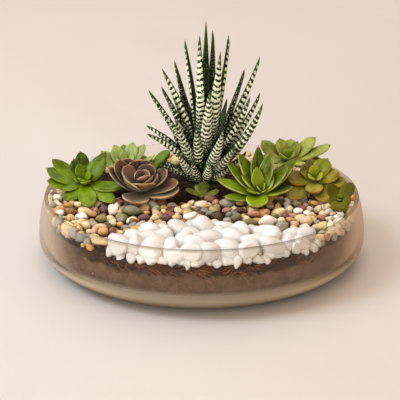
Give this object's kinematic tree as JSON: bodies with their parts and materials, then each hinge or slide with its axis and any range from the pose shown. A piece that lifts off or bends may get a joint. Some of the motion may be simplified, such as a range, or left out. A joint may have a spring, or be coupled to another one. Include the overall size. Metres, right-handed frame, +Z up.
{
  "type": "succulent garden in a glass bowl",
  "caption": "Low round clear glass bowl planted with a tall banded succulent and leafy rosettes, over potting soil, mixed gravel and a drift of white pebbles.",
  "frame": {"origin": "centre of the bowl's foot, at the plane that it stands on", "axes": "+Z up, -Y towards the viewer (the side of the white pebbles), +X to the viewer's right"},
  "size_m": [0.25, 0.25, 0.1767],
  "materials": {
    "glass": "gloss",
    "potting_soil": "matte",
    "mixed_gravel": "satin",
    "white_pebble": "satin",
    "haworthia": "satin",
    "rosette_left_green": "satin",
    "rosette_back_pale": "matte",
    "rosette_back_middle": "satin",
    "rosette_purple": "satin",
    "rosette_right_green": "satin",
    "rosette_back_right": "satin",
    "rosette_olive": "satin",
    "rosette_far_right": "satin",
    "sprig": "satin"
  },
  "bodies": {
    "root": {"glass_bowl": "glass", "soil": "potting_soil", "gravel": "mixed_gravel", "white_pebbles": "white_pebble", "haworthia": "haworthia", "rosette_left_green": "rosette_left_green", "rosette_back_pale": "rosette_back_pale", "rosette_back_middle": "rosette_back_middle", "rosette_purple": "rosette_purple", "rosette_right_green": "rosette_right_green", "rosette_back_right": "rosette_back_right", "rosette_olive": "rosette_olive", "rosette_far_right": "rosette_far_right", "sprig": "sprig"}
  },
  "joints": []
}
